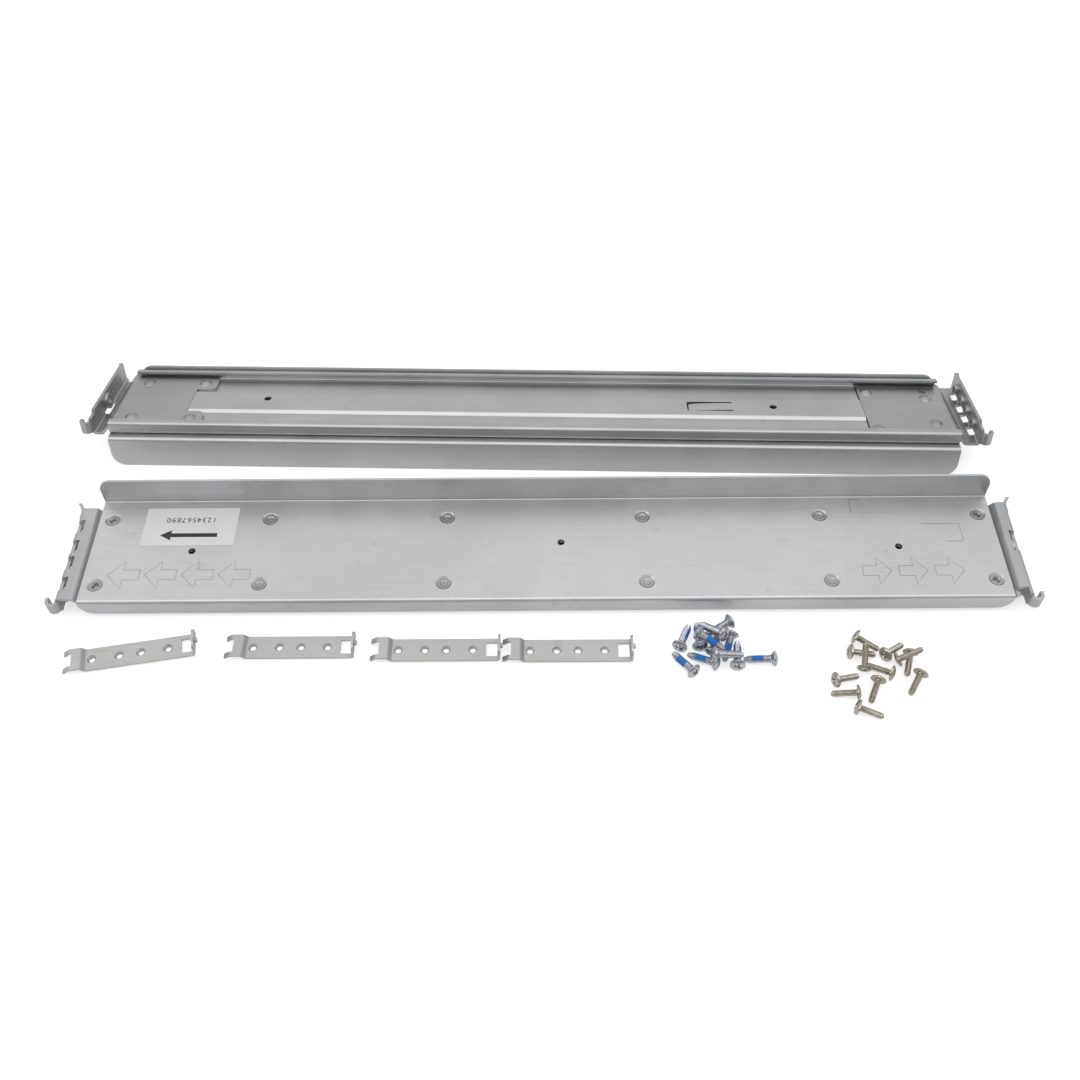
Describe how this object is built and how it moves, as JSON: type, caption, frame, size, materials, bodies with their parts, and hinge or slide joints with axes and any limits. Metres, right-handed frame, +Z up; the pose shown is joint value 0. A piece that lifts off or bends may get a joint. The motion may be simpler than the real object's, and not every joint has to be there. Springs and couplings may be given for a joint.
{
  "type": "sliding server rail pair",
  "caption": "Pair of shelf type server rails whose rear ears slide out on a flat track to suit the rack depth, laid out with their adapter strips and two heaps of screws.",
  "frame": {"origin": "centre of the overall box at the level of the table", "axes": "+X along the right rail from its front ear to its rear ear, +Y from the near rail to the far rail, +Z up from the table"},
  "size_m": [0.6106, 0.2874, 0.0342],
  "materials": {
    "shelf_zinc_steel": "bright zinc plated sheet, satin, with faint rolling lines",
    "track_zinc_steel": "zinc plated sheet, satin",
    "bracket_zinc_steel": "zinc plated sheet, satin, darker at the bends",
    "rivet_steel": "plated rivet, smooth",
    "adapter_steel": "pale zinc plated strip, satin",
    "zinc_screw": "bright blue zinc with a blue nylon patch on the thread",
    "nickel_screw": "warm nickel plating, bright",
    "paper_label": "plain white adhesive label, matt"
  },
  "bodies": {
    "set_on_table": {"adapter_1": "adapter_steel", "adapter_2": "adapter_steel", "adapter_3": "adapter_steel", "adapter_4": "adapter_steel", "left_end_rivets": "rivet_steel", "left_front_bracket": "bracket_zinc_steel", "left_front_rivets": "rivet_steel", "left_shelf_plate": "shelf_zinc_steel", "left_track": "track_zinc_steel", "left_web_rivets": "rivet_steel", "patch_screws": "zinc_screw", "right_end_rivets": "rivet_steel", "right_front_bracket": "bracket_zinc_steel", "right_front_rivets": "rivet_steel", "right_label": "paper_label", "right_shelf_plate": "shelf_zinc_steel", "right_track": "track_zinc_steel", "right_web_rivets": "rivet_steel", "truss_screws": "nickel_screw"},
    "right_rear_section": {"right_slide": "track_zinc_steel", "right_rear_bracket": "bracket_zinc_steel", "right_rear_rivets": "rivet_steel"},
    "left_rear_section": {"left_slide": "track_zinc_steel", "left_rear_bracket": "bracket_zinc_steel", "left_rear_rivets": "rivet_steel"}
  },
  "joints": [
    {"name": "right_rear_travel", "type": "slide", "parent": "set_on_table", "child": "right_rear_section", "axis": [1, 0, 0], "range_m": [0, 0.305]},
    {"name": "left_rear_travel", "type": "slide", "parent": "set_on_table", "child": "left_rear_section", "axis": [-0.9996, 0.0269, 0], "range_m": [0, 0.305]}
  ]
}
